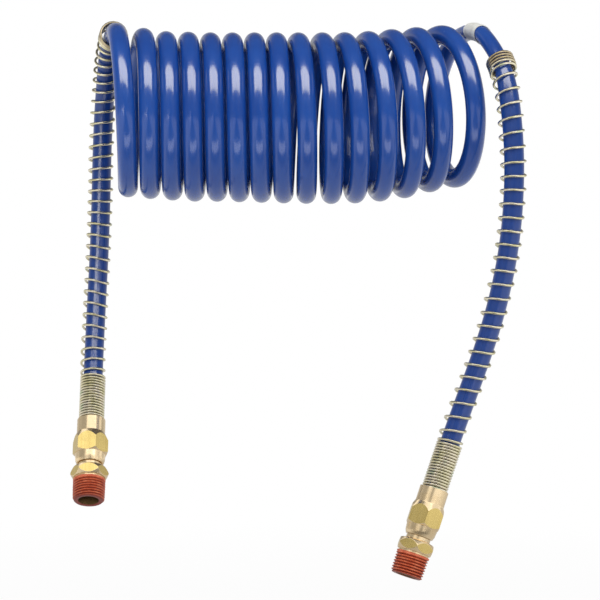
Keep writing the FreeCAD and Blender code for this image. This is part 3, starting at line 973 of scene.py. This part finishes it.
wireLook = zincWire()
rubberLook = plain("seal rubber", (0.012, 0.012, 0.013), metallic=0.0, roughness=0.5)
ringLook = plain("ring steel", (0.45, 0.45, 0.46), metallic=1.0, roughness=0.3)
dress(hosePiece, nylon())
dress(tapePiece, vinylTape())
for hand in ("left", "right"):
    brassLook = brass(hand)
    flatLook = drawnBrass(hand)
    dress(guardPieces[hand], wireLook)
    for piece in turnedPieces[hand]:
        dress(piece, brassLook, flatLook)
        for face in piece.data.polygons:
            beside = abs(face.normal.dot(fittings[hand]["axis"])) < brassFinish["square"]
            face.material_index = int(beside and face.area > brassFinish["flatArea"])
        print(piece.name, "flats:", sum(face.material_index for face in piece.data.polygons))
    dress(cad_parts[hand + "_tube_insert"], brassLook)
    dress(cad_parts[hand + "_swivel_seal"], rubberLook)
    dress(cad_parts[hand + "_retaining_ring"], ringLook)
    # the thread is coated, and its bore is bare brass
    piece = threadPieces[hand]
    dress(piece, sealant(hand), brassLook)
    toOwnAxis = fittings[hand]["place"].inverted()
    for face in piece.data.polygons:
        bare = (toOwnAxis @ face.center).xy.length < thread["bore"] + thread["lip"] / 5
        face.material_index = int(bare)
print("materials:", len(bpy.data.materials))


# Stage and lights

stage = {
    "floor": -0.372,
    "size": 9.0,
    "paint": (0.92, 0.92, 0.92),
    # how bright the floor is in the pieces' gloss near the middle, and half the width of that part;
    # further out it is white
    "glossLevel": 0.65,
    "glossHalf": 0.35,
    # the same for its dark part, which starts and is full at these depths towards the viewer
    "dim": 0.15,
    "darkFrom": -0.10,
    "darkTo": -0.20,
    "darkHalf": 0.24,
    "fade": 0.2,                        # the width over which each part ends at its sides
    # how much of the floor's own shading shows near the pieces, up to one distance, and none past the next
    "shadow": 0.07,
    "shadeTo": 0.25,
    "plainFrom": 1.0,
}


def makeStage():
    bpy.ops.mesh.primitive_plane_add(size=stage["size"], location=(0, 0, stage["floor"]))
    piece = bpy.context.object
    piece.name = "stage"
    bpy.ops.object.transform_apply(location=True)
    look = Shader("stage")
    where = look.onPiece()
    sideways = look.sum("ABSOLUTE", look.part(where, 0))
    dark = look.grey(look.part(where, 1), stage["darkFrom"], stage["darkTo"])
    dark *= look.grey(sideways, stage["darkHalf"] + stage["fade"], stage["darkHalf"])
    outer = look.grey(sideways, stage["glossHalf"], stage["glossHalf"] + stage["fade"])
    level = stage["glossLevel"] + (1 - stage["glossLevel"]) * outer
    level -= dark * (stage["glossLevel"] - stage["dim"])
    glossy = look.rays("Is Glossy Ray", "Is Transmission Ray")
    strength = 1 - glossy + glossy * level
    bright = look.add("ShaderNodeEmission", {}, {"Color": (1, 1, 1), "Strength": strength})
    far = look.grey(look.vectors("LENGTH", where, out=1), stage["shadeTo"], stage["plainFrom"])
    seen = look.rays("Is Camera Ray", "Is Glossy Ray", "Is Transmission Ray")
    seen *= 1 - stage["shadow"] + stage["shadow"] * far
    paint = look.add("ShaderNodeBsdfDiffuse", {}, {"Color": stage["paint"]})
    dress(piece, look.finish(look.add("ShaderNodeMixShader", {}, {0: seen, 1: paint, 2: bright})))


studio = {
    # the world is white where the camera sees it, and dimmer as light, so that the lamps give the light
    "light": 0.5,                       # as plain light
    "gloss": 0.12,                      # its level in the pieces' gloss, and what is added low behind them
    "glossBehind": 0.55,
    # that part comes in between two levels of the way back, and goes between two of the height
    "behindFrom": -0.1,
    "behindTo": 0.4,
    "lowTo": 0.1,
    "highFrom": 0.55,
}


def makeWorld():
    look = Shader("studio", bpy.data.worlds)
    way = look.add("ShaderNodeTexCoord")
    behind = look.grey(look.part(way, 1), studio["behindFrom"], studio["behindTo"])
    behind *= 1 - look.grey(look.part(way, 2), studio["lowTo"], studio["highFrom"])
    seen = look.rays("Is Camera Ray")
    glossy = look.rays("Is Glossy Ray", "Is Transmission Ray")
    strength = seen + glossy * (studio["gloss"] + studio["glossBehind"] * behind)
    strength += (1 - seen - glossy) * studio["light"]
    surface = look.add("ShaderNodeBackground", {}, {"Color": (1, 1, 1), "Strength": strength})
    bpy.context.scene.world = look.finish(surface, "ShaderNodeOutputWorld")


def areaLight(name, place, aim, size, power, rays=("diffuse", "glossy"), on=(), colour=None, spread=None):
    bpy.ops.object.light_add(type="AREA", location=place)
    lamp = bpy.context.object
    lamp.name = name
    lamp.data.shape = "RECTANGLE"
    lamp.data.size, lamp.data.size_y = size
    lamp.data.energy = power
    lamp.rotation_euler = (Vector(aim) - Vector(place)).to_track_quat("-Z", "Y").to_euler()
    lamp.visible_diffuse = "diffuse" in rays
    lamp.visible_glossy = "glossy" in rays
    lamp.visible_camera = False
    if colour:
        lamp.data.color = colour
    if spread:
        lamp.data.spread = spread
    if on:
        # this lamp lights only these pieces
        pieces = bpy.data.collections.new(name)
        for piece in on:
            pieces.objects.link(piece)
        lamp.light_linking.receiver_collection = pieces


makeStage()
makeWorld()
nylonPieces = [hosePiece, tapePiece]
metalPieces = [piece for piece in bpy.context.scene.objects
               if piece.type == "MESH" and piece not in nylonPieces and piece.name != "stage"]
brassPieces = [piece for piece in metalPieces if piece not in guardPieces.values()]
warm = (1.0, 0.93, 0.70)
leadCards = {
    # small cards on arcs round the left lead, whose narrow beams pass the coil by
    "reach": 0.57,
    "size": (0.15, 0.055),
    "spread": math.radians(17),
    "power": 0.0032,
    # what each row lights, how far over that it hangs, and where its cards are round it, in degrees
    "rows": (
        {"aim": (-0.126, 0.063, -0.085), "rise": 0.0, "turns": (-30, -16)},
        {"aim": (-0.1275, 0.0625, -0.125), "rise": 0.085, "turns": (-26, -10)},
        {"aim": (-0.129, 0.0595, -0.157), "rise": 0.157, "turns": (-24, -7, 10, 27)},
        {"aim": (-0.130, 0.055, -0.182), "rise": 0.252, "turns": (-24, -7, 10, 27)},
    ),
}


def leadCardLamps():
    cards = []
    for row in leadCards["rows"]:
        for turn in row["turns"]:
            angle = math.radians(turn)
            out = Vector((math.sin(angle), -math.cos(angle), 0)) * leadCards["reach"]
            cards.append({
                "name": "card by the left lead", "place": Vector(row["aim"]) + out + up * row["rise"],
                "aim": row["aim"], "size": leadCards["size"], "power": leadCards["power"],
                "rays": ("glossy",), "on": nylonPieces, "colour": warm, "spread": leadCards["spread"],
            })
    return cards


lamps = [
    # the kinds of ray that meet each lamp, or both, and the pieces that it lights, or all
    {"name": "front softbox", "place": (0.0, -0.85, 0.80), "aim": (0.0, 0.0, -0.1),
     "size": (1.8, 1.2), "power": 9.5, "rays": ("diffuse",)},
    {"name": "strip over the hose", "place": (0.0, -0.58, 0.673), "aim": (0.0, 0.0, -0.04),
     "size": (1.5, 0.58), "power": 23.5, "rays": ("glossy",), "on": nylonPieces, "colour": warm},
    *leadCardLamps(),
    {"name": "strip under the hose", "place": (0.0, -0.305, -0.352), "aim": (0.0, -0.05, -0.06),
     "size": (0.56, 0.15), "power": 0.6, "rays": ("glossy",), "on": nylonPieces},
    {"name": "strip over the metal", "place": (0.0, -0.60, 0.52), "aim": (0.0, 0.0, -0.26),
     "size": (1.3, 0.62), "power": 3.0, "rays": ("glossy",), "on": metalPieces},
    {"name": "front fill", "place": (0.0, -1.9, 0.6), "aim": (0.0, 0.0, -0.2),
     "size": (3.4, 2.6), "power": 7, "rays": ("glossy",), "on": metalPieces},
    {"name": "left card", "place": (-0.566, -1.334, 0.118), "aim": (0.0, 0.0, -0.27),
     "size": (0.70, 1.1), "power": 1.45, "rays": ("glossy",), "on": brassPieces},
    {"name": "right card", "place": (0.566, -1.334, 0.118), "aim": (0.0, 0.0, -0.27),
     "size": (0.80, 1.1), "power": 2.1, "rays": ("glossy",), "on": brassPieces},
    {"name": "card over the back", "place": (-0.5, 0.35, 0.45), "aim": (0.0, 0.0, -0.27),
     "size": (0.6, 0.5), "power": 1.2, "rays": ("glossy",), "on": brassPieces},
    {"name": "left sheet", "place": (-1.42, -0.49, 0.1), "aim": (0.0, 0.0, 0.0),
     "size": (2.4, 1.4), "power": 9, "rays": ("diffuse",), "on": nylonPieces},
    {"name": "right sheet", "place": (1.42, -0.49, 0.1), "aim": (0.0, 0.0, 0.0),
     "size": (2.4, 1.4), "power": 9, "rays": ("diffuse",), "on": nylonPieces},
    {"name": "left metal sheet", "place": (-1.42, -0.49, 0.35), "aim": (0.0, 0.0, -0.2),
     "size": (2.4, 2.0), "power": 5, "on": metalPieces},
    {"name": "right metal sheet", "place": (1.42, -0.49, 0.35), "aim": (0.0, 0.0, -0.2),
     "size": (2.4, 2.0), "power": 13, "on": metalPieces},
]
for lamp in lamps:
    areaLight(**lamp)

bpy.context.scene.view_settings.view_transform = "Standard"
print("stage and lights done:", len(lamps), "lamps")
